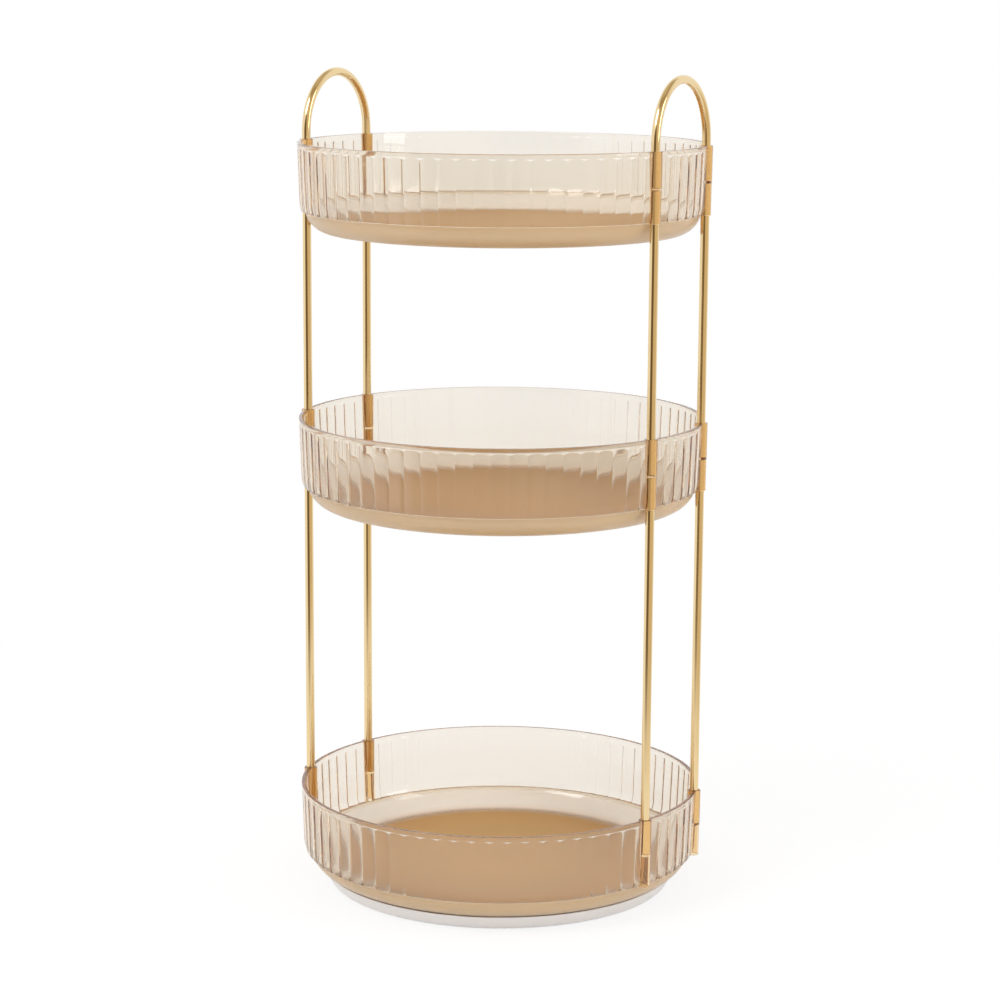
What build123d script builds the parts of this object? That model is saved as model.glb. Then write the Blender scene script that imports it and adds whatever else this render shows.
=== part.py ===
from build123d import *
import os
from math import asin, cos, degrees, radians, sin, sqrt, tan

# A three-tier rotating organizer: three identical round trays of clear amber plastic on gold
# rods, two bent-rod loops as handles, and a low turntable with a ball bearing under the lowest
# tray. Millimetres, +Z up. The origin is on the ground, on the turning axis. The viewer of the
# photograph stands on the -Y side.

# ---------------------------------------------------------------- overall sizes
TOTAL_HEIGHT = 475.0           # ground to the top of the handle loops
TRAY_DIAMETER = 235.0          # over the rim band
TRAY_HEIGHT = 51.3             # underside to rim
BOTTOM_RIM = 59.5              # rim heights above the ground
MIDDLE_RIM = 277.3
TOP_RIM = 435.0

# ---------------------------------------------------------------- tray moulding
FLOOR_THICKNESS = 2.2
RIM_THICKNESS = 2.3
RIM_BAND = 2.5                 # height of the plain band above the reeds
RIM_ROUNDING = 0.7
BAND_STEP = 0.2                # the band stands this far proud of the reeds
BOTTOM_LINE = 12.3             # height above the underside at which the reeds end
REED_FOOT_RADIUS = 115.6       # outer radius of the reeds at the bottom line
BOTTOM_ROUNDING = 15.0         # outer radius of the rounded bottom
BOTTOM_FLAT_RADIUS = 98.4      # flat part of the underside
INNER_DRAFT = 3.0              # degrees
INNER_ROUNDING = 18.0          # between floor and wall
REED_COUNT = 74
REED_DEPTH = 0.8
CREST_LAND = 0.06              # the reed arcs' crests would stand this far out of the wall
CUT_OVERRUN = 1.0              # how far a cutter runs past what it cuts
GROOVE_AZIMUTH = -39.4         # degrees, one groove; the rest follow at the reed pitch
RIM_RADIUS = TRAY_DIAMETER / 2

# ---------------------------------------------------------------- rods and their sockets
ROD_DIAMETER = 5.0
SOCKET_CLEARANCE = 0.05        # radial, around a rod
SOCKET_CIRCLE = 116.0          # radius of the circle through the rod axes
HANDLE_AZIMUTH = -28.0         # middle of the right handle; the left one is opposite
HALF_SPREAD = 17.0             # from a handle's middle to either of its rods
SOCKET_MOUTH_RADIUS = 3.8      # outside, at the rim
SOCKET_MID_RADIUS = 3.6        # outside, just above the web
SOCKET_NECK_RADIUS = 3.45      # outside, just below the web
SOCKET_FOOT_RADIUS = 3.3       # outside, at the open lower end
WEB_BELOW_RIM = 20.5           # middle of the web that stops the rods
WEB_THICKNESS = 1.2
SOCKET_LENGTH = 39.3
PLACES = {
    "front_right": HANDLE_AZIMUTH - HALF_SPREAD,
    "right": HANDLE_AZIMUTH + HALF_SPREAD,
    "back_left": 180 + HANDLE_AZIMUTH - HALF_SPREAD,
    "left": 180 + HANDLE_AZIMUTH + HALF_SPREAD,
}

# ---------------------------------------------------------------- turntable, heights from ground
FOOT_HEIGHT = 1.3
FOOT_DIAMETER = 12.0
FOOT_RECESS = 0.8
FOOT_CIRCLE = 84.0
FOOT_COUNT = 6
BASE_UNDERSIDE = FOOT_HEIGHT - FOOT_RECESS
BASE_FLOOR = 1.8               # thickness
BASE_FOOT_RADIUS = 100.0       # outer radius at the ground, before its corner is rounded
BASE_TOP_RADIUS = 105.0        # outer radius at the top of the skirt
BASE_ROUNDING = 3.0            # of that corner, outside
BASE_INNER_ROUNDING = 1.0      # of the corner between floor and skirt
BASE_LIP_ROUNDING = 0.4        # of the skirt's top edges
BASE_SKIRT = 2.2               # wall of the skirt
TRAY_GAP = 0.5                 # between the skirt's lip and the tray above it
TAPE_THICKNESS = 0.4
TAPE_INNER_RADIUS = 44.0
TAPE_OUTER_RADIUS = 68.0
ROTOR_THICKNESS = 1.6
ROTOR_RADIUS = 72.0
RACE_RADIUS = 60.0             # ball circle
RACE_HALF_WIDTH = 4.5
BALL_DIAMETER = 3.2
BALL_COUNT = 16
BALL_CLEARANCE = 0.05          # between a ball and each track
CAGE_THICKNESS = 1.2
CAGE_GAP = 0.4                 # between the cage and either race ring
CAGE_HALF_WIDTH = 4.0
CAGE_HOLE_CLEARANCE = 0.08     # radial
SPIGOT_RADIUS = 4.0
SPIGOT_CLEARANCE = 0.06
HUB_RADIUS = 10.0
HUB_RECESS_RADIUS = 8.0
HUB_WEB = 1.2                  # thickness of the hub's web, around the spigot
WASHER_GAP = 0.05              # between the washer and the hub's web
HEAD_RECESS = 0.1              # of the screw head, above the base's underside
WASHER_RADIUS = 6.5
WASHER_THICKNESS = 0.5
SCREW_RADIUS = 1.5
SCREW_HEAD_RADIUS = 2.9
SCREW_HEAD_HEIGHT = 1.1
SCREW_LENGTH = 5.2

# ---------------------------------------------------------------- derived sizes
ROD_RADIUS = ROD_DIAMETER / 2
BORE_RADIUS = ROD_RADIUS + SOCKET_CLEARANCE
REED_TOP = TRAY_HEIGHT - RIM_BAND
REED_TOP_RADIUS = RIM_RADIUS - BAND_STEP
WEB_BOTTOM = TRAY_HEIGHT - WEB_BELOW_RIM - WEB_THICKNESS / 2
WEB_TOP = WEB_BOTTOM + WEB_THICKNESS
SOCKET_BOTTOM = TRAY_HEIGHT - SOCKET_LENGTH
BOTTOM_TRAY_Z = BOTTOM_RIM - TRAY_HEIGHT
MIDDLE_TRAY_Z = MIDDLE_RIM - TRAY_HEIGHT
TOP_TRAY_Z = TOP_RIM - TRAY_HEIGHT
ROTOR_TOP = BOTTOM_TRAY_Z - TAPE_THICKNESS
ROTOR_UNDERSIDE = ROTOR_TOP - ROTOR_THICKNESS
BASE_FLOOR_TOP = BASE_UNDERSIDE + BASE_FLOOR
BALL_RADIUS = BALL_DIAMETER / 2
TRACK_RADIUS = BALL_RADIUS + BALL_CLEARANCE
BALL_CENTRE = (BASE_FLOOR_TOP + ROTOR_UNDERSIDE) / 2
RACE_GAP = CAGE_THICKNESS / 2 + CAGE_GAP
SPIGOT_BOTTOM = BASE_UNDERSIDE + HEAD_RECESS + SCREW_HEAD_HEIGHT + WASHER_THICKNESS
HUB_WEB_BOTTOM = SPIGOT_BOTTOM + WASHER_GAP

os.makedirs("parts", exist_ok=True)


def finish(piece, name):
    """Label a finished piece and write it as its own STEP file."""
    piece.part.label = name
    export_step(piece.part, f"parts/{name}.step")


def on_circle(radius, azimuth):
    """The point of the XY plane at this radius and azimuth."""
    return (radius * cos(radians(azimuth)), radius * sin(radians(azimuth)))


SOCKET_POINTS = [on_circle(SOCKET_CIRCLE, azimuth) for azimuth in PLACES.values()]


def ring(inner, outer, bottom, top):
    """A plain flat ring or disc about the axis."""
    with BuildPart() as piece:
        with BuildSketch(Plane.XY.offset(bottom)):
            Circle(outer)
            if inner > 0:
                Circle(inner, mode=Mode.SUBTRACT)
        extrude(amount=top - bottom)
    return piece


# ---------------------------------------------------------------- the groove between two reeds
# The reeds are convex: each is an arc that rises REED_DEPTH between two grooves. The cutter is
# what lies outside two neighbouring arcs, drawn square to the wall and extruded up along it.
half_pitch = 180 / REED_COUNT
reed_rise = RIM_RADIUS - (RIM_RADIUS - REED_DEPTH) * cos(radians(half_pitch))
reed_half_width = (RIM_RADIUS - REED_DEPTH) * sin(radians(half_pitch))
reed_radius = (reed_half_width**2 + reed_rise**2) / (2 * reed_rise)
wall_lean = (REED_TOP_RADIUS - REED_FOOT_RADIUS) / (REED_TOP - BOTTOM_LINE)
groove_plane = Plane(
    origin=(REED_FOOT_RADIUS - wall_lean * CUT_OVERRUN, 0, BOTTOM_LINE - CUT_OVERRUN),
    x_dir=(1, 0, -wall_lean),
    z_dir=(wall_lean, 0, 1),
)
with BuildPart() as groove:
    with BuildSketch(groove_plane):
        Rectangle(2 * CUT_OVERRUN, 2 * reed_half_width)
        arc_centre = on_circle(RIM_RADIUS + CREST_LAND - reed_radius, half_pitch)
        with Locations(
            (arc_centre[0] - RIM_RADIUS, arc_centre[1]),
            (arc_centre[0] - RIM_RADIUS, -arc_centre[1]),
        ):
            Circle(reed_radius, mode=Mode.SUBTRACT)
    extrude(amount=REED_TOP - BOTTOM_LINE + CUT_OVERRUN)

# ---------------------------------------------------------------- tray moulding, underside at z = 0
round_angle = degrees(asin((BOTTOM_LINE - BOTTOM_ROUNDING) / BOTTOM_ROUNDING))
inner_rim_radius = RIM_RADIUS - RIM_THICKNESS
inner_corner = inner_rim_radius - (TRAY_HEIGHT - FLOOR_THICKNESS) * tan(radians(INNER_DRAFT))
with BuildPart() as moulding:
    with BuildSketch(Plane.XZ):
        with BuildLine():
            flat = Line((0, 0), (BOTTOM_FLAT_RADIUS, 0))
            rounded = CenterArc((BOTTOM_FLAT_RADIUS, BOTTOM_ROUNDING), BOTTOM_ROUNDING,
                                -90, 90 + round_angle)
            Polyline(
                rounded @ 1,
                (REED_FOOT_RADIUS, BOTTOM_LINE),
                (REED_TOP_RADIUS, REED_TOP),
                (RIM_RADIUS, REED_TOP),
            )
            FilletPolyline(
                (RIM_RADIUS, REED_TOP),
                (RIM_RADIUS, TRAY_HEIGHT),
                (inner_rim_radius, TRAY_HEIGHT),
                (inner_corner, FLOOR_THICKNESS),
                (0, FLOOR_THICKNESS),
                radius=[RIM_ROUNDING, RIM_ROUNDING, INNER_ROUNDING],
            )
            Line((0, FLOOR_THICKNESS), (0, 0))
        make_face()
    revolve(axis=Axis.Z)
    with PolarLocations(0, REED_COUNT, start_angle=GROOVE_AZIMUTH):
        add(groove.part, mode=Mode.SUBTRACT)
    for bottom, top, foot_radius, mouth_radius in (
        (SOCKET_BOTTOM, WEB_BOTTOM, SOCKET_FOOT_RADIUS, SOCKET_NECK_RADIUS),
        (WEB_BOTTOM, TRAY_HEIGHT, SOCKET_MID_RADIUS, SOCKET_MOUTH_RADIUS),
    ):
        with Locations(*[(x, y, bottom) for x, y in SOCKET_POINTS]):
            Cone(foot_radius, mouth_radius, top - bottom,
                 align=(Align.CENTER, Align.CENTER, Align.MIN))
    for bottom, top in ((SOCKET_BOTTOM, WEB_BOTTOM), (WEB_TOP, TRAY_HEIGHT)):
        with BuildSketch(Plane.XY.offset(bottom)):
            with Locations(*SOCKET_POINTS):
                Circle(BORE_RADIUS)
        extrude(amount=top - bottom, mode=Mode.SUBTRACT)

for tray_name, underside in (
    ("bottom_tray", BOTTOM_TRAY_Z),
    ("middle_tray", MIDDLE_TRAY_Z),
    ("top_tray", TOP_TRAY_Z),
):
    with BuildPart() as tray:
        with Locations((0, 0, underside)):
            add(moulding.part)
    finish(tray, tray_name)

# ---------------------------------------------------------------- straight posts, web to web
for tier, lower_tray, upper_tray in (
    ("lower", BOTTOM_TRAY_Z, MIDDLE_TRAY_Z),
    ("upper", MIDDLE_TRAY_Z, TOP_TRAY_Z),
):
    foot = lower_tray + WEB_TOP
    head = upper_tray + WEB_BOTTOM
    for place, azimuth in PLACES.items():
        with BuildPart() as post:
            with BuildSketch(Plane.XY.offset(foot)):
                with Locations(on_circle(SOCKET_CIRCLE, azimuth)):
                    Circle(ROD_RADIUS)
            extrude(amount=head - foot)
        finish(post, f"{tier}_post_{place}")

# ---------------------------------------------------------------- handle loops
half_span = SOCKET_CIRCLE * sin(radians(HALF_SPREAD))
arch_centre = TOTAL_HEIGHT - ROD_RADIUS - half_span
leg_foot = TOP_TRAY_Z + WEB_TOP
for side, azimuth in (("right", HANDLE_AZIMUTH), ("left", 180 + HANDLE_AZIMUTH)):
    middle = on_circle(SOCKET_CIRCLE * cos(radians(HALF_SPREAD)), azimuth)
    loop_plane = Plane(
        origin=(middle[0], middle[1], leg_foot),
        x_dir=(-sin(radians(azimuth)), cos(radians(azimuth)), 0),
        z_dir=(cos(radians(azimuth)), sin(radians(azimuth)), 0),
    )
    straight = arch_centre - leg_foot
    with BuildPart() as handle:
        with BuildLine(loop_plane) as hairpin:
            leg = Line((-half_span, 0), (-half_span, straight))
            arch = CenterArc((0, straight), half_span, 180, -180)
            Line(arch @ 1, (half_span, 0))
        with BuildSketch(Plane(origin=leg @ 0, z_dir=(0, 0, 1))):
            Circle(ROD_RADIUS)
        sweep(path=hairpin.wires()[0])
    finish(handle, f"handle_{side}")

# ---------------------------------------------------------------- turntable base
def lip_height(radius):
    """Height at which the skirt ends, just below the tray's rounded bottom at this radius."""
    out = radius - BOTTOM_FLAT_RADIUS
    rise = BOTTOM_ROUNDING - sqrt(BOTTOM_ROUNDING**2 - out**2)
    return BOTTOM_TRAY_Z + rise - TRAY_GAP


with BuildPart() as base_plate:
    with BuildSketch(Plane.XZ):
        with BuildLine():
            FilletPolyline(
                (0, BASE_UNDERSIDE),
                (BASE_FOOT_RADIUS, BASE_UNDERSIDE),
                (BASE_TOP_RADIUS, lip_height(BASE_TOP_RADIUS)),
                (BASE_TOP_RADIUS - BASE_SKIRT, lip_height(BASE_TOP_RADIUS - BASE_SKIRT)),
                (BASE_FOOT_RADIUS - BASE_SKIRT, BASE_FLOOR_TOP),
                (0, BASE_FLOOR_TOP),
                radius=[BASE_ROUNDING, BASE_LIP_ROUNDING, BASE_LIP_ROUNDING, BASE_INNER_ROUNDING],
            )
            Line((0, BASE_FLOOR_TOP), (0, BASE_UNDERSIDE))
        make_face()
    revolve(axis=Axis.Z)
    add(ring(RACE_RADIUS - RACE_HALF_WIDTH, RACE_RADIUS + RACE_HALF_WIDTH,
             BASE_FLOOR_TOP, BALL_CENTRE - RACE_GAP).part)
    add(ring(0, HUB_RADIUS, BASE_FLOOR_TOP, HUB_WEB_BOTTOM + HUB_WEB).part)
    with BuildSketch(Plane.XY.offset(BASE_UNDERSIDE)):
        Circle(HUB_RECESS_RADIUS)
    extrude(amount=HUB_WEB_BOTTOM - BASE_UNDERSIDE, mode=Mode.SUBTRACT)
    with BuildSketch(Plane.XY.offset(BASE_UNDERSIDE)):
        Circle(SPIGOT_RADIUS + SPIGOT_CLEARANCE)
    extrude(amount=ROTOR_UNDERSIDE, mode=Mode.SUBTRACT)
    with BuildSketch(Plane.XZ):
        with Locations((RACE_RADIUS, BALL_CENTRE)):
            Circle(TRACK_RADIUS)
    revolve(axis=Axis.Z, mode=Mode.SUBTRACT)
    with BuildSketch(Plane.XY.offset(BASE_UNDERSIDE)):
        with PolarLocations(FOOT_CIRCLE, FOOT_COUNT):
            Circle(FOOT_DIAMETER / 2)
    extrude(amount=FOOT_RECESS, mode=Mode.SUBTRACT)
finish(base_plate, "base_plate")

with BuildPart() as rubber_feet:
    with BuildSketch():
        with PolarLocations(FOOT_CIRCLE, FOOT_COUNT):
            Circle(FOOT_DIAMETER / 2)
    extrude(amount=FOOT_HEIGHT)
finish(rubber_feet, "rubber_feet")

# ---------------------------------------------------------------- ball bearing between the discs
with BuildPart() as bearing_balls:
    with Locations((0, 0, BALL_CENTRE)):
        with PolarLocations(RACE_RADIUS, BALL_COUNT):
            Sphere(BALL_RADIUS)
finish(bearing_balls, "bearing_balls")

with BuildPart() as ball_cage:
    with BuildSketch(Plane.XY.offset(BALL_CENTRE - CAGE_THICKNESS / 2)):
        Circle(RACE_RADIUS + CAGE_HALF_WIDTH)
        Circle(RACE_RADIUS - CAGE_HALF_WIDTH, mode=Mode.SUBTRACT)
        with PolarLocations(RACE_RADIUS, BALL_COUNT):
            Circle(BALL_RADIUS + CAGE_HOLE_CLEARANCE, mode=Mode.SUBTRACT)
    extrude(amount=CAGE_THICKNESS)
finish(ball_cage, "ball_cage")

# ---------------------------------------------------------------- turning disc and its fastening
with BuildPart() as rotor_plate:
    add(ring(0, ROTOR_RADIUS, ROTOR_UNDERSIDE, ROTOR_TOP).part)
    add(ring(RACE_RADIUS - RACE_HALF_WIDTH, RACE_RADIUS + RACE_HALF_WIDTH,
             BALL_CENTRE + RACE_GAP, ROTOR_UNDERSIDE).part)
    add(ring(0, SPIGOT_RADIUS, SPIGOT_BOTTOM, ROTOR_UNDERSIDE).part)
    with BuildSketch(Plane.XY.offset(SPIGOT_BOTTOM)):
        Circle(SCREW_RADIUS)
    extrude(amount=SCREW_LENGTH - WASHER_THICKNESS, mode=Mode.SUBTRACT)
    with BuildSketch(Plane.XZ):
        with Locations((RACE_RADIUS, BALL_CENTRE)):
            Circle(TRACK_RADIUS)
    revolve(axis=Axis.Z, mode=Mode.SUBTRACT)
finish(rotor_plate, "rotor_plate")

adhesive_ring = ring(TAPE_INNER_RADIUS, TAPE_OUTER_RADIUS, ROTOR_TOP, BOTTOM_TRAY_Z)
finish(adhesive_ring, "adhesive_ring")

pivot_washer = ring(SCREW_RADIUS, WASHER_RADIUS, SPIGOT_BOTTOM - WASHER_THICKNESS, SPIGOT_BOTTOM)
finish(pivot_washer, "pivot_washer")

head_top = SPIGOT_BOTTOM - WASHER_THICKNESS
with BuildPart() as pivot_screw:
    with BuildSketch(Plane.XY.offset(head_top - SCREW_HEAD_HEIGHT)):
        Circle(SCREW_HEAD_RADIUS)
    extrude(amount=SCREW_HEAD_HEIGHT)
    with BuildSketch(Plane.XY.offset(head_top)):
        Circle(SCREW_RADIUS)
    extrude(amount=SCREW_LENGTH)
finish(pivot_screw, "pivot_screw")
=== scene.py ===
import math

import bmesh
import bpy
import numpy as np
from mathutils import Matrix, Vector


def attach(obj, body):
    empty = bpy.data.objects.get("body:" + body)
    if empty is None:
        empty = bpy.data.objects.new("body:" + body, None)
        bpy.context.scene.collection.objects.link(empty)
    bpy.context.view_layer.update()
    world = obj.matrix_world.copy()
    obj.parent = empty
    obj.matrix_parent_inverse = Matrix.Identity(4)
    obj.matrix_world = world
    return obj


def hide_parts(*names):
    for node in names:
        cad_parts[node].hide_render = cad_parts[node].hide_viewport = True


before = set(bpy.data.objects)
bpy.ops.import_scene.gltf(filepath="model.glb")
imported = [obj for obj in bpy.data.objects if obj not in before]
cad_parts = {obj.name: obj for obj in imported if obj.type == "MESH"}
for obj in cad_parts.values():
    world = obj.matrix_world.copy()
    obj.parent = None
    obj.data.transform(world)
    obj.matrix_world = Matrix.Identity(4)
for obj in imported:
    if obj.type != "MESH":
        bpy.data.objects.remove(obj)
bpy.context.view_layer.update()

MM = 0.001

# ---------------------------------------------------------------- sizes in millimetres
# undersides of the trays, from the ground
TRAYS = {
    "bottom_tray": 8.2,
    "middle_tray": 226.0,
    "top_tray": 383.7,
}
TRAY_HEIGHT = 51.3
FLOOR = 2.2
RIM_RADIUS = 117.5
RIM_THICKNESS = 2.3
RIM_BAND = 2.6                 # plain band above the reeds
BAND_STEP = 0.05               # the band stands this far proud of the reeds
RIM_ROUNDING = 0.4
REED_COUNT = 74
REED_DEPTH = 0.45
REED_STEPS = 12                # columns of the mesh to a reed
REED_ARCH = 2.5                # the grooves end upwards in slopes this steep
REED_FOOT_CHAMFER = 0.25
GROOVE_AZIMUTH = -39.4
WALL_LEAN = 0.95               # the reeds' crests lean in by this much from top to CURL_FROM
CURL_FROM = 18.0               # below this height they curl in further
CURL = 1.0                     # by this much at the bottom line
BOTTOM_LINE = 12.3             # height at which the reeds end
BOTTOM_ROUNDING = 15.0
BOTTOM_FLAT = 98.4             # radius of the flat underside
INNER_DRAFT = 3.0              # degrees
INNER_ROUNDING = 18.0
SOCKET_CIRCLE = 116.0
HANDLE_AZIMUTH = -28.0
HALF_SPREAD = 17.0
ROD_RADIUS = 2.5
ROD_END_GAP = 0.05             # between a rod's end and the web
BORE_RADIUS = 2.47             # under the rod's, so the plastic lies on the rod and shows it enlarged
SOCKET_SOFTENING = 0.25        # chamfer at both ends of a socket
WEB_BOTTOM = 30.2
WEB_TOP = 31.4
SOCKET_BOTTOM = 12.0
SOCKET_FOOT = 3.3              # outer radii, from the open lower end up to the rim
SOCKET_NECK = 3.45
SOCKET_MIDDLE = 3.6
SOCKET_MOUTH = 3.8
TOTAL_HEIGHT = 475.0
PLACES = {
    "front_right": HANDLE_AZIMUTH - HALF_SPREAD,
    "right": HANDLE_AZIMUTH + HALF_SPREAD,
    "back_left": 180 + HANDLE_AZIMUTH - HALF_SPREAD,
    "left": 180 + HANDLE_AZIMUTH + HALF_SPREAD,
}


# ---------------------------------------------------------------- mesh helpers
def object_from(name, mesh, material, body, replaces=()):
    """Put a mesh in the scene as a piece with its materials, hiding the CAD parts it replaces."""
    obj = bpy.data.objects.new(name, mesh)
    bpy.context.scene.collection.objects.link(obj)
    for mat in material if isinstance(material, (list, tuple)) else (material,):
        mesh.materials.append(mat)
    if replaces:
        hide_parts(*replaces)
    return obj


def smooth(mesh, angle=30.0):
    """Smooth shading with edges sharper than the angle kept."""
    mesh.polygons.foreach_set("use_smooth", np.ones(len(mesh.polygons), dtype=bool))
    mesh.set_sharp_from_angle(angle=math.radians(angle))
    mesh.update()


def arc(cx, cy, radius, start, end, steps):
    """Points along an arc, both ends included; angles in degrees."""
    return [
        (cx + radius * math.cos(math.radians(start + (end - start) * i / steps)),
         cy + radius * math.sin(math.radians(start + (end - start) * i / steps)))
        for i in range(steps + 1)
    ]


def tube(name, path, radius, columns=40):
    """A rod along a list of points in mm, with small chamfers at both ends."""
    bm = bmesh.new()
    points = [Vector(p) * MM for p in path]
    radius *= MM
    chamfer = 0.12 * radius
    rings = []
    side = None
    for i, point in enumerate(points):
        ahead = (points[min(i + 1, len(points) - 1)] - points[max(i - 1, 0)]).normalized()
        if side is None:
            side = ahead.orthogonal().normalized()
        side = (side - ahead * side.dot(ahead)).normalized()
        other = ahead.cross(side)
        stations = [(0.0, radius)]
        if i == 0:
            stations = [(0.0, radius - chamfer), (chamfer, radius)]
        elif i == len(points) - 1:
            stations = [(-chamfer, radius), (0.0, radius - chamfer)]
        for shift, r in stations:
            rings.append([
                bm.verts.new(point + ahead * shift + r * (
                    side * math.cos(math.tau * k / columns) + other * math.sin(math.tau * k / columns)))
                for k in range(columns)
            ])
    for low, high in zip(rings, rings[1:]):
        for k in range(columns):
            j = (k + 1) % columns
            bm.faces.new((low[k], low[j], high[j], high[k]))
    bm.faces.new(rings[0][::-1])
    bm.faces.new(rings[-1])
    bmesh.ops.recalc_face_normals(bm, faces=bm.faces)
    mesh = bpy.data.meshes.new(name)
    bm.to_mesh(mesh)
    bm.free()
    smooth(mesh)
    return mesh


def on_circle(radius, azimuth, height=0.0):
    angle = math.radians(azimuth)
    return (radius * math.cos(angle), radius * math.sin(angle), height)


# ---------------------------------------------------------------- tray mesh
def crest_radius(height):
    """Outer radius of the wall over the reeds' crests: slight draft, curling in at the foot."""
    reed_top = TRAY_HEIGHT - RIM_BAND
    lean = WALL_LEAN * (reed_top - height) / (reed_top - CURL_FROM)
    curl = max(0.0, (CURL_FROM - height) / (CURL_FROM - BOTTOM_LINE))
    return RIM_RADIUS - BAND_STEP - lean - CURL * curl**2


def reeded(crest, across):
    """Radius over one reed, across = -1 .. 1 from groove to groove: shallow, and steepest where
    two reeds meet in a groove."""
    return crest - REED_DEPTH * (0.45 * across**2 + 0.55 * across**6)


def tray_shell():
    """The tray without its sockets: one closed grid of rings, in metres, underside at z = 0."""
    columns = REED_COUNT * REED_STEPS
    # columns crowd towards the grooves, where the section turns
    stops = [2 * i / REED_STEPS - 1 for i in range(REED_STEPS)]
    stops = [math.copysign(1 - (1 - abs(t))**1.5, t) for t in stops]
    across = stops * REED_COUNT
    pitch = math.tau / REED_COUNT
    angles = [math.radians(GROOVE_AZIMUTH) + pitch * (i // REED_STEPS + (a + 1) / 2)
              for i, a in enumerate(across)]
    reed_top = TRAY_HEIGHT - RIM_BAND
    rows = []

    def plain(radius, height):
        rows.append([(radius, height)] * columns)

    for radius in (12.0, 40.0, 80.0):
        plain(radius, 0.0)
    round_end = math.degrees(math.asin((BOTTOM_LINE - BOTTOM_ROUNDING) / BOTTOM_ROUNDING))
    for radius, height in arc(BOTTOM_FLAT, BOTTOM_ROUNDING, BOTTOM_ROUNDING, -90, round_end, 14):
        plain(radius, height)
    foot = crest_radius(BOTTOM_LINE)
    rows.append([(reeded(foot, a) - REED_FOOT_CHAMFER, BOTTOM_LINE) for a in across])
    heights = [BOTTOM_LINE + REED_FOOT_CHAMFER, 14.0, 16.0, 18.0, 22.0, 28.0, 34.0, 40.0, 44.0]
    heights += [reed_top - 2.4 + 0.2 * i for i in range(12)]
    for height in heights:
        crest = crest_radius(height)
        chamfer = RIM_RADIUS - (reed_top - height) / REED_ARCH
        rows.append([(max(reeded(crest, a), chamfer), height) for a in across])
    plain(RIM_RADIUS, reed_top)
    plain(RIM_RADIUS, reed_top + 0.5)
    inner_rim = RIM_RADIUS - RIM_THICKNESS
    lip = TRAY_HEIGHT - RIM_ROUNDING
    for radius, height in arc(RIM_RADIUS - RIM_ROUNDING, lip, RIM_ROUNDING, 0, 90, 5):
        plain(radius, height)
    for radius, height in arc(inner_rim + RIM_ROUNDING, lip, RIM_ROUNDING, 90, 180, 5):
        plain(radius, height)
    draft = math.radians(INNER_DRAFT)
    centre_height = FLOOR + INNER_ROUNDING
    wall_at_centre = inner_rim - (TRAY_HEIGHT - centre_height) * math.tan(draft)
    centre_radius = wall_at_centre - INNER_ROUNDING / math.cos(draft)
    for height in (46.0, 40.0, 34.0, 28.0, 24.0):
        plain(inner_rim - (TRAY_HEIGHT - height) * math.tan(draft), height)
    for radius, height in arc(centre_radius, centre_height, INNER_ROUNDING, INNER_DRAFT * -1, -90, 16):
        plain(radius, height)
    for radius in (80.0, 40.0, 12.0):
        plain(radius, FLOOR)

    bm = bmesh.new()
    grid = [
        [bm.verts.new((r * MM * math.cos(t), r * MM * math.sin(t), h * MM))
         for (r, h), t in zip(row, angles)]
        for row in rows
    ]
    for low, high in zip(grid, grid[1:]):
        for i in range(columns):
            j = (i + 1) % columns
            bm.faces.new((low[i], low[j], high[j], high[i]))
    for ring, height in ((grid[0], 0.0), (grid[-1], FLOOR)):
        hub = bm.verts.new((0, 0, height * MM))
        for i in range(columns):
            bm.faces.new((ring[i], ring[(i + 1) % columns], hub))
    bmesh.ops.recalc_face_normals(bm, faces=bm.faces)
    mesh = bpy.data.meshes.new("tray_shell")
    bm.to_mesh(mesh)
    bm.free()
    return mesh


def frustum(bm, centre, sections, columns=40):
    """Add a closed stack of rings about a vertical axis to a bmesh; sections are (height, radius)."""
    rings = [
        [bm.verts.new(((centre[0] + r * math.cos(math.tau * k / columns)) * MM,
                       (centre[1] + r * math.sin(math.tau * k / columns)) * MM, h * MM))
         for k in range(columns)]
        for h, r in sections
    ]
    for low, high in zip(rings, rings[1:]):
        for k in range(columns):
            j = (k + 1) % columns
            bm.faces.new((low[k], low[j], high[j], high[k]))
    bm.faces.new(rings[0][::-1])
    bm.faces.new(rings[-1])


def stacks(name, sections):
    """The same stack of rings at each of the four sockets, as one mesh."""
    bm = bmesh.new()
    for azimuth in PLACES.values():
        frustum(bm, on_circle(SOCKET_CIRCLE, azimuth), sections)
    mesh = bpy.data.meshes.new(name)
    bm.to_mesh(mesh)
    bm.free()
    obj = bpy.data.objects.new(name, mesh)
    bpy.context.scene.collection.objects.link(obj)
    return obj


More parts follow.
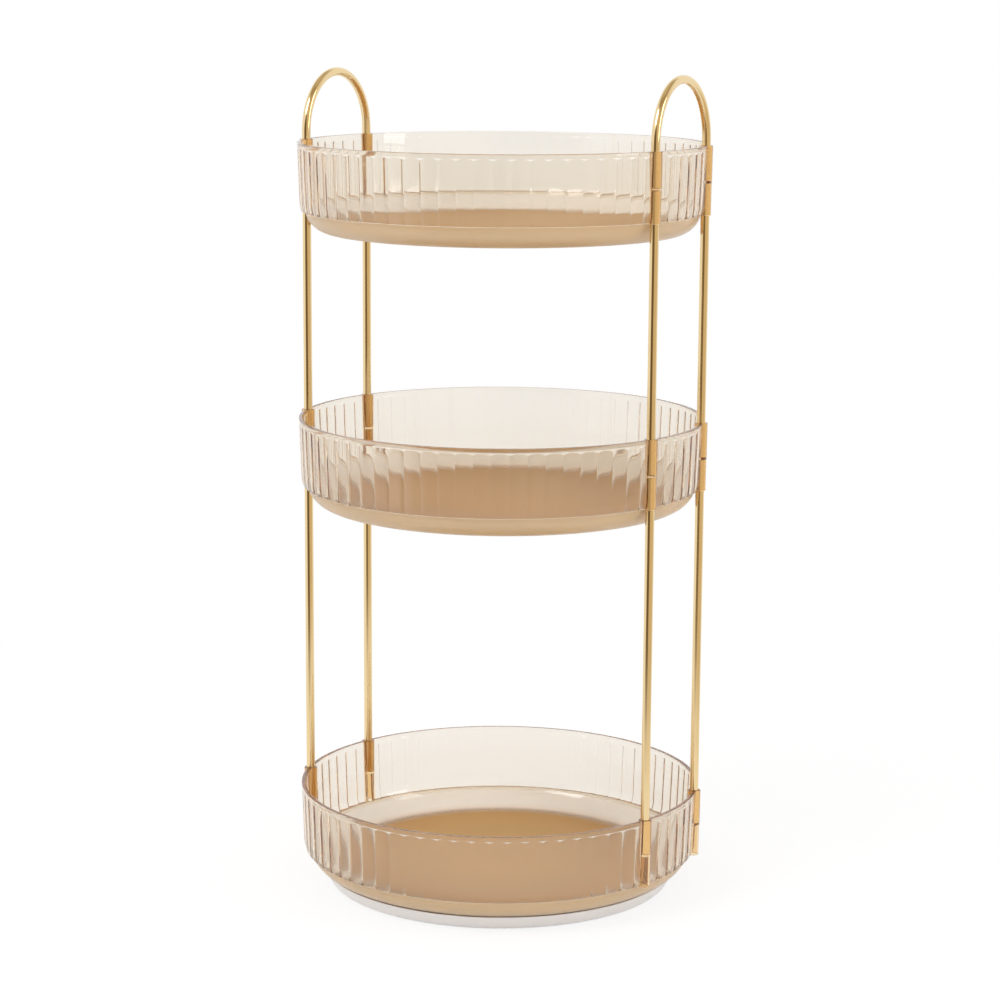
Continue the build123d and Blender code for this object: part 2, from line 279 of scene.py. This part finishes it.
def tray_moulding():
    """The whole moulding: shell, four sockets outside and in."""
    shell = bpy.data.objects.new("tray_moulding", tray_shell())
    bpy.context.scene.collection.objects.link(shell)
    soft = SOCKET_SOFTENING
    outside = stacks("sockets_outside", [
        (SOCKET_BOTTOM, SOCKET_FOOT - soft), (SOCKET_BOTTOM + soft, SOCKET_FOOT),
        (WEB_BOTTOM, SOCKET_NECK), (WEB_BOTTOM + 0.15, SOCKET_MIDDLE),
        (TRAY_HEIGHT - soft, SOCKET_MOUTH), (TRAY_HEIGHT, SOCKET_MOUTH - soft),
    ])
    upper = stacks("bores_up", [(WEB_TOP, BORE_RADIUS), (TRAY_HEIGHT + 1.0, BORE_RADIUS)])
    lower = stacks("bores_down", [(SOCKET_BOTTOM - 0.3, BORE_RADIUS), (WEB_BOTTOM, BORE_RADIUS)])
    for tool, operation in ((outside, "UNION"), (upper, "DIFFERENCE"), (lower, "DIFFERENCE")):
        modifier = shell.modifiers.new(operation, "BOOLEAN")
        modifier.object = tool
        modifier.operation = operation
        modifier.solver = "EXACT"
    depsgraph = bpy.context.evaluated_depsgraph_get()
    mesh = bpy.data.meshes.new_from_object(shell.evaluated_get(depsgraph), depsgraph=depsgraph)
    for obj in (shell, outside, upper, lower):
        bpy.data.objects.remove(obj)
    smooth(mesh, 28.0)
    return mesh


# ---------------------------------------------------------------- materials
def new_material(name):
    mat = bpy.data.materials.new(name)
    mat.use_nodes = True
    nodes = mat.node_tree.nodes
    return mat, nodes, mat.node_tree.links, nodes["Principled BSDF"]


def maths(nodes, links, operation, a, b=None, c=None, clamp=False):
    """A Math node whose inputs are sockets or numbers."""
    node = nodes.new("ShaderNodeMath")
    node.operation = operation
    node.use_clamp = clamp
    for index, value in enumerate((a, b, c)):
        if value is None:
            continue
        if isinstance(value, (int, float)):
            node.inputs[index].default_value = value
        else:
            links.new(value, node.inputs[index])
    return node.outputs[0]


def ramp(nodes, links, source, low, high):
    """0 below low, 1 above high, smooth between."""
    node = nodes.new("ShaderNodeMapRange")
    node.interpolation_type = "SMOOTHSTEP"
    node.inputs["From Min"].default_value = low
    node.inputs["From Max"].default_value = high
    links.new(source, node.inputs["Value"])
    return node.outputs["Result"]


def mix_colour(nodes, links, factor, a, b):
    node = nodes.new("ShaderNodeMix")
    node.data_type = "RGBA"
    if isinstance(factor, (int, float)):
        node.inputs[0].default_value = factor
    else:
        links.new(factor, node.inputs[0])
    for index, value in ((6, a), (7, b)):
        if isinstance(value, tuple):
            node.inputs[index].default_value = (*value, 1.0)
        else:
            links.new(value, node.inputs[index])
    return node.outputs[2]


def noise(nodes, links, vector, scale, detail=3.0, roughness=0.5):
    node = nodes.new("ShaderNodeTexNoise")
    node.inputs["Scale"].default_value = scale
    node.inputs["Detail"].default_value = detail
    node.inputs["Roughness"].default_value = roughness
    links.new(vector, node.inputs["Vector"])
    return node.outputs["Fac"]


def amber_plastic():
    """Clear amber plastic: the flat floor is finely frosted and full tan, the outside of the
    rounded bottom is satin, and the walls are polished."""
    mat, nodes, links, shader = new_material("amber_plastic")
    coordinates = nodes.new("ShaderNodeTexCoord").outputs["Object"]
    split = nodes.new("ShaderNodeSeparateXYZ")
    links.new(coordinates, split.inputs[0])
    x, y, z = split.outputs
    square = maths(nodes, links, "ADD", maths(nodes, links, "MULTIPLY", x, x),
                   maths(nodes, links, "MULTIPLY", y, y))
    radius = maths(nodes, links, "SQRT", square)
    inside = maths(nodes, links, "SUBTRACT", 1.0, ramp(nodes, links, radius, 0.089, 0.107))
    low = maths(nodes, links, "SUBTRACT", 1.0, ramp(nodes, links, z, 0.004, 0.011))
    floor = maths(nodes, links, "MULTIPLY", inside, low)
    # distance from the circle that the bottom's rounding is drawn about
    out = maths(nodes, links, "SUBTRACT", radius, BOTTOM_FLAT * MM)
    out = maths(nodes, links, "MAXIMUM", out, 0.0)
    down = maths(nodes, links, "SUBTRACT", z, BOTTOM_ROUNDING * MM)
    square = maths(nodes, links, "ADD", maths(nodes, links, "MULTIPLY", out, out),
                   maths(nodes, links, "MULTIPLY", down, down))
    away = ramp(nodes, links, maths(nodes, links, "SQRT", square), 0.0138, 0.0146)
    under = maths(nodes, links, "LESS_THAN", z, (BOTTOM_LINE + 0.05) * MM)
    satin = maths(nodes, links, "MULTIPLY", away, under)
    # the fillet inside, from the floor's edge up to the wall: its transmission is lowered so it shows as
    # a whitish ring, painted light that stands in for the bright background seen through it
    near = maths(nodes, links, "SUBTRACT", 1.0, ramp(
        nodes, links, maths(nodes, links, "SQRT", square), 0.0130, 0.0138))
    painted_bright_fillet = maths(nodes, links, "MULTIPLY", near, ramp(nodes, links, radius, 0.096, 0.101))
    painted_bright_fillet = maths(nodes, links, "MULTIPLY", painted_bright_fillet, maths(
        nodes, links, "SUBTRACT", 1.0, ramp(nodes, links, z, 0.011, 0.016)))
    # distance from the nearest socket axis, with the handles' diameter turned onto x
    turned = nodes.new("ShaderNodeVectorRotate")
    turned.rotation_type = "Z_AXIS"
    turned.inputs["Angle"].default_value = math.radians(-HANDLE_AZIMUTH)
    links.new(coordinates, turned.inputs["Vector"])
    parts = nodes.new("ShaderNodeSeparateXYZ")
    links.new(turned.outputs[0], parts.inputs[0])
    spread = math.radians(HALF_SPREAD)
    along = maths(nodes, links, "SUBTRACT", maths(nodes, links, "ABSOLUTE", parts.outputs[0]),
                  SOCKET_CIRCLE * math.cos(spread) * MM)
    across = maths(nodes, links, "SUBTRACT", maths(nodes, links, "ABSOLUTE", parts.outputs[1]),
                   SOCKET_CIRCLE * math.sin(spread) * MM)
    square = maths(nodes, links, "ADD", maths(nodes, links, "MULTIPLY", along, along),
                   maths(nodes, links, "MULTIPLY", across, across))
    nearby = ramp(nodes, links, maths(nodes, links, "SQRT", square), 0.0039, 0.0046)
    socket = maths(nodes, links, "SUBTRACT", 1.0, nearby)
    flow = noise(nodes, links, coordinates, 18.0, 4.0)
    grain = noise(nodes, links, coordinates, 1400.0, 2.0)

    wall_colour = mix_colour(nodes, links, flow, (0.950, 0.948, 0.938), (0.965, 0.964, 0.958))
    wall_colour = mix_colour(nodes, links, socket, wall_colour, (0.960, 0.800, 0.560))
    satin_colour = mix_colour(nodes, links, flow, (0.940, 0.715, 0.440), (0.960, 0.745, 0.475))
    floor_colour = mix_colour(nodes, links, flow, (0.660, 0.368, 0.100), (0.700, 0.398, 0.118))
    colour = mix_colour(nodes, links, satin, wall_colour, satin_colour)
    links.new(mix_colour(nodes, links, floor, colour, floor_colour), shader.inputs["Base Color"])

    rough = maths(nodes, links, "MULTIPLY_ADD", satin, 0.30, maths(
        nodes, links, "MULTIPLY_ADD", flow, 0.03, 0.02))
    rough = maths(nodes, links, "MULTIPLY_ADD", floor, 0.38, rough)
    rough = maths(nodes, links, "MULTIPLY_ADD", maths(nodes, links, "MULTIPLY", floor, grain), 0.1, rough)
    links.new(rough, shader.inputs["Roughness"])

    clear = maths(nodes, links, "MULTIPLY_ADD", satin, -0.33, 0.97)
    # painted light: the fillet is made partly opaque white to stand in for the light seen through it
    clear = maths(nodes, links, "MULTIPLY_ADD", painted_bright_fillet, -0.55, clear)
    clear = maths(nodes, links, "MULTIPLY_ADD", floor, -0.62, clear, clamp=True)
    links.new(clear, shader.inputs["Transmission Weight"])
    shader.inputs["IOR"].default_value = 1.49

    bump = nodes.new("ShaderNodeBump")
    bump.inputs["Distance"].default_value = 0.00004
    links.new(maths(nodes, links, "MULTIPLY_ADD", floor, 0.5, 0.02), bump.inputs["Strength"])
    links.new(grain, bump.inputs["Height"])
    links.new(bump.outputs[0], shader.inputs["Normal"])

    tint = nodes.new("ShaderNodeVolumeAbsorption")
    tint.inputs["Color"].default_value = (0.82, 0.58, 0.20, 1.0)
    tint.inputs["Density"].default_value = 75.0
    links.new(tint.outputs[0], nodes["Material Output"].inputs["Volume"])
    return mat


def gold():
    mat, nodes, links, shader = new_material("gold_rod")
    shader.inputs["Metallic"].default_value = 1.0
    coordinates = nodes.new("ShaderNodeTexCoord").outputs["Object"]
    grain = noise(nodes, links, coordinates, 900.0, 2.0)
    cloud = noise(nodes, links, coordinates, 60.0, 3.0)
    links.new(mix_colour(nodes, links, cloud, (0.82, 0.62, 0.33), (0.87, 0.69, 0.40)),
              shader.inputs["Base Color"])
    links.new(maths(nodes, links, "MULTIPLY_ADD", grain, 0.06, 0.10), shader.inputs["Roughness"])
    return mat


def pale_plastic(name, colour, roughness, transmission):
    mat, nodes, links, shader = new_material(name)
    coordinates = nodes.new("ShaderNodeTexCoord").outputs["Object"]
    cloud = noise(nodes, links, coordinates, 25.0, 4.0)
    darker = tuple(0.94 * c for c in colour)
    links.new(mix_colour(nodes, links, cloud, darker, colour), shader.inputs["Base Color"])
    links.new(maths(nodes, links, "MULTIPLY_ADD", cloud, 0.1, roughness), shader.inputs["Roughness"])
    shader.inputs["Transmission Weight"].default_value = transmission
    shader.inputs["IOR"].default_value = 1.49
    return mat


def plain_metal():
    mat, nodes, links, shader = new_material("steel")
    shader.inputs["Metallic"].default_value = 1.0
    coordinates = nodes.new("ShaderNodeTexCoord").outputs["Object"]
    grain = noise(nodes, links, coordinates, 500.0, 2.0)
    links.new(mix_colour(nodes, links, grain, (0.58, 0.58, 0.60), (0.70, 0.70, 0.71)),
              shader.inputs["Base Color"])
    links.new(maths(nodes, links, "MULTIPLY_ADD", grain, 0.12, 0.14), shader.inputs["Roughness"])
    return mat


AMBER = amber_plastic()
GOLD = gold()
BASE = pale_plastic("base_plastic", (0.99, 0.955, 0.935), 0.3, 0.25)
WHITE = pale_plastic("white_plastic", (0.94, 0.93, 0.90), 0.45, 0.0)
TAPE = pale_plastic("mounting_tape", (0.76, 0.75, 0.70), 0.8, 0.0)
RUBBER = pale_plastic("rubber", (0.70, 0.69, 0.66), 0.7, 0.0)
STEEL = plain_metal()

# ---------------------------------------------------------------- trays
moulding = tray_moulding()
for tray, underside in TRAYS.items():
    piece = object_from(f"{tray}_clear", moulding.copy(), AMBER, "tower", (tray,))
    piece.location = (0, 0, underside * MM)
    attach(piece, "tower")

# ---------------------------------------------------------------- rods
for tier, low, high in (("lower", "bottom_tray", "middle_tray"), ("upper", "middle_tray", "top_tray")):
    for place, azimuth in PLACES.items():
        name = f"{tier}_post_{place}"
        path = [on_circle(SOCKET_CIRCLE, azimuth, TRAYS[low] + WEB_TOP + ROD_END_GAP),
                on_circle(SOCKET_CIRCLE, azimuth, TRAYS[high] + WEB_BOTTOM - ROD_END_GAP)]
        rod = object_from(f"{name}_rod", tube(name, path, ROD_RADIUS), GOLD, "tower", (name,))
        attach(rod, "tower")

half_span = SOCKET_CIRCLE * math.sin(math.radians(HALF_SPREAD))
arch_height = TOTAL_HEIGHT - ROD_RADIUS - half_span
for side, azimuth in (("right", HANDLE_AZIMUTH), ("left", 180 + HANDLE_AZIMUTH)):
    middle = Vector(on_circle(SOCKET_CIRCLE * math.cos(math.radians(HALF_SPREAD)), azimuth))
    along = Vector(on_circle(1.0, azimuth + 90))
    foot = TRAYS["top_tray"] + WEB_TOP + ROD_END_GAP
    outline = [(-half_span, foot)] + arc(0, arch_height, half_span, 180, 0, 48) + [(half_span, foot)]
    path = [middle + along * u + Vector((0, 0, v)) for u, v in outline]
    rod = object_from(f"handle_{side}_rod", tube(f"handle_{side}", path, ROD_RADIUS), GOLD, "tower",
                      (f"handle_{side}",))
    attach(rod, "tower")

# ---------------------------------------------------------------- turntable pieces keep their CAD shapes
for node, mat in (("base_plate", BASE), ("rubber_feet", RUBBER), ("rotor_plate", WHITE),
                  ("ball_cage", WHITE), ("bearing_balls", STEEL), ("pivot_screw", STEEL),
                  ("pivot_washer", STEEL), ("adhesive_ring", TAPE)):
    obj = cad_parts[node]
    obj.data.materials.clear()
    obj.data.materials.append(mat)

# ---------------------------------------------------------------- floor, world, lights, camera
def towards(nodes, links, vector, direction, start, full):
    """0 to 1 as a unit vector turns into a direction; start and full are dot products."""
    node = nodes.new("ShaderNodeVectorMath")
    node.operation = "DOT_PRODUCT"
    links.new(vector, node.inputs[0])
    node.inputs[1].default_value = Vector(direction).normalized()
    return ramp(nodes, links, node.outputs["Value"], start, full)


def surroundings(nodes, links, vector):
    """The room as metal and clear plastic show it: white, with the camera's side dim."""
    right_front = towards(nodes, links, vector, (0.60, -0.80, 0.0), 0.15, 0.75)
    colour = mix_colour(nodes, links, right_front, (1.0, 1.0, 1.0), (0.72, 0.60, 0.43))
    overhead = towards(nodes, links, vector, (0.0, 0.0, 1.0), 0.60, 0.92)
    colour = mix_colour(nodes, links, overhead, colour, (0.42, 0.33, 0.20))
    camera_side = towards(nodes, links, vector, (-0.36, -0.93, 0.0), 0.80, 0.95)
    metal = mix_colour(nodes, links, camera_side, colour, (0.17, 0.115, 0.055))
    path = nodes.new("ShaderNodeLightPath")
    share = maths(nodes, links, "MULTIPLY_ADD", path.outputs["Is Transmission Ray"], -0.4, 1.0)
    return mix_colour(nodes, links, share, (1.0, 1.0, 1.0), metal)


def larger(nodes, links, *values):
    total = values[0]
    for value in values[1:]:
        total = maths(nodes, links, "MAXIMUM", total, value)
    return total


floor_mesh = bpy.data.meshes.new("floor")
bm = bmesh.new()
bmesh.ops.create_grid(bm, x_segments=1, y_segments=1, size=6.0)
bm.to_mesh(floor_mesh)
bm.free()
floor = bpy.data.objects.new("floor", floor_mesh)
bpy.context.scene.collection.objects.link(floor)
floor_mat, nodes, links, shader = new_material("floor")
shader.inputs["Base Color"].default_value = (0.95, 0.95, 0.95, 1)
shader.inputs["Roughness"].default_value = 0.9
shader.inputs["Specular IOR Level"].default_value = 0.0
place = nodes.new("ShaderNodeNewGeometry").outputs["Position"]
length = nodes.new("ShaderNodeVectorMath")
length.operation = "LENGTH"
links.new(place, length.inputs[0])
unit = nodes.new("ShaderNodeVectorMath")
unit.operation = "NORMALIZE"
links.new(place, unit.inputs[0])
far = ramp(nodes, links, length.outputs["Value"], 0.25, 0.7)
room = mix_colour(nodes, links, far, (1.0, 1.0, 1.0), surroundings(nodes, links, unit.outputs[0]))
path = nodes.new("ShaderNodeLightPath")
white = nodes.new("ShaderNodeEmission")
links.new(mix_colour(nodes, links, path.outputs["Is Camera Ray"], room, (1.0, 1.0, 1.0)),
          white.inputs["Color"])
seen = larger(nodes, links, path.outputs["Is Camera Ray"], path.outputs["Is Transmission Ray"],
              path.outputs["Is Glossy Ray"])
share = maths(nodes, links, "MULTIPLY_ADD", far, 0.2, 0.8)
mix = nodes.new("ShaderNodeMixShader")
links.new(maths(nodes, links, "MULTIPLY", seen, share), mix.inputs[0])
links.new(shader.outputs[0], mix.inputs[1])
links.new(white.outputs[0], mix.inputs[2])
links.new(mix.outputs[0], nodes["Material Output"].inputs["Surface"])
floor_mesh.materials.append(floor_mat)

world = bpy.data.worlds.new("studio")
bpy.context.scene.world = world
world.use_nodes = True
nodes, links = world.node_tree.nodes, world.node_tree.links
background = nodes["Background"]
direction = nodes.new("ShaderNodeTexCoord").outputs["Generated"]
path = nodes.new("ShaderNodeLightPath")
mirrored = larger(nodes, links, path.outputs["Is Transmission Ray"], path.outputs["Is Glossy Ray"])
colour = mix_colour(nodes, links, mirrored, (0.95, 0.95, 0.95), surroundings(nodes, links, direction))
links.new(mix_colour(nodes, links, path.outputs["Is Camera Ray"], colour, (1.0, 1.0, 1.0)),
          background.inputs["Color"])


def area_light(name, place, target, size, power):
    light = bpy.data.lights.new(name, "AREA")
    light.shape = "RECTANGLE"
    light.size, light.size_y = size
    light.energy = power
    obj = bpy.data.objects.new(name, light)
    bpy.context.scene.collection.objects.link(obj)
    obj.location = place
    obj.rotation_euler = (Vector(target) - Vector(place)).to_track_quat("-Z", "Y").to_euler()
    return obj


area_light("key", (-1.2, -1.0, 1.8), (0, 0, 0.25), (0.9, 0.9), 16)
area_light("fill", (1.6, -0.6, 1.0), (0, 0, 0.25), (0.5, 1.2), 6)
area_light("top", (0.0, 0.3, 2.2), (0, 0, 0.2), (1.2, 1.2), 1)

camera_data = bpy.data.cameras.new("camera")
camera = bpy.data.objects.new("camera", camera_data)
bpy.context.scene.collection.objects.link(camera)
FOCAL_PIXELS = 2766.0
PICTURE_WIDTH = 1000.0
camera_data.sensor_width = 36.0
camera_data.lens = FOCAL_PIXELS / PICTURE_WIDTH * camera_data.sensor_width
camera_data.clip_end = 20.0
pitch, yaw, roll = math.radians(10.592), math.radians(0.0906), math.radians(0.326)
ahead = Vector((math.sin(yaw) * math.cos(pitch), math.cos(yaw) * math.cos(pitch), -math.sin(pitch)))
right = Vector((math.cos(yaw), -math.sin(yaw), 0.0))
up = right.cross(ahead)
turned_right = right * math.cos(roll) + up * math.sin(roll)
turned_up = up * math.cos(roll) - right * math.sin(roll)
matrix = Matrix((turned_right, turned_up, -ahead)).transposed().to_4x4()
matrix.translation = Vector((-0.00338, -1.5859, 0.5241))
camera.matrix_world = matrix
bpy.context.scene.camera = camera
bpy.context.scene.view_settings.view_transform = "Standard"
# light that runs inside the clear walls needs more turns than Blender allows by default
bpy.context.scene.cycles.max_bounces = 24
bpy.context.scene.cycles.glossy_bounces = 16
bpy.context.scene.cycles.transmission_bounces = 20
